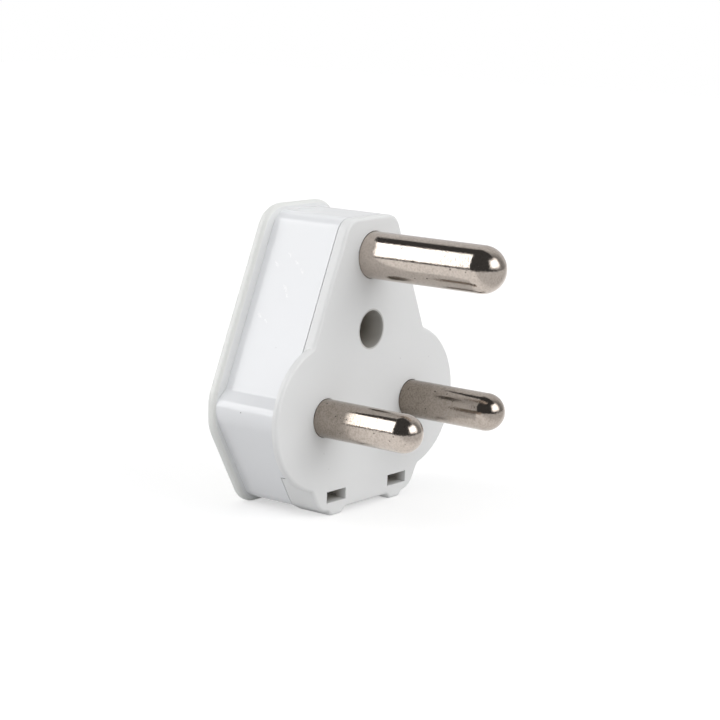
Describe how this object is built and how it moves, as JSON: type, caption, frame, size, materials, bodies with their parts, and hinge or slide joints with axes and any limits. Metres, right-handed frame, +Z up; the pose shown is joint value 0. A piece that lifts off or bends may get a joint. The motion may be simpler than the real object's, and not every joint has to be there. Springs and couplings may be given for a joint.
{
  "type": "three-pin plug top",
  "caption": "Rewireable round-pin plug top with a lobed engagement face, a longer earth pin, a flanged rear cover, and screw terminals and a cord clamp inside.",
  "frame": {"origin": "on the flat engagement face, midway between the live and neutral pin axes", "axes": "pins along -Y, +Z up towards the earth pin, +X to the right when the pins are looked at"},
  "size_m": [0.0528, 0.048, 0.0556],
  "materials": {
    "face_plastic": "satin moulded, warm white",
    "cover_plastic": "gloss moulded, cool white",
    "nickel_plate": "nickel plated, polished",
    "brass": "turned, bare",
    "zinc_steel": "zinc plated",
    "fibre": "vulcanised fibre"
  },
  "bodies": {
    "root": {"base": "face_plastic", "cord_clamp_bar": "zinc_steel", "cord_clamp_nut_left": "zinc_steel", "cord_clamp_nut_right": "zinc_steel", "cord_clamp_screw_left": "zinc_steel", "cord_clamp_screw_right": "zinc_steel", "cover": "cover_plastic", "cover_insert": "brass", "cover_screw": "zinc_steel", "cover_screw_washer": "fibre", "earth_clamp_washer": "brass", "earth_pin": "nickel_plate", "earth_terminal_screw": "brass", "live_clamp_washer": "brass", "live_pin": "nickel_plate", "live_terminal_screw": "brass", "neutral_clamp_washer": "brass", "neutral_pin": "nickel_plate", "neutral_terminal_screw": "brass"}
  },
  "joints": []
}
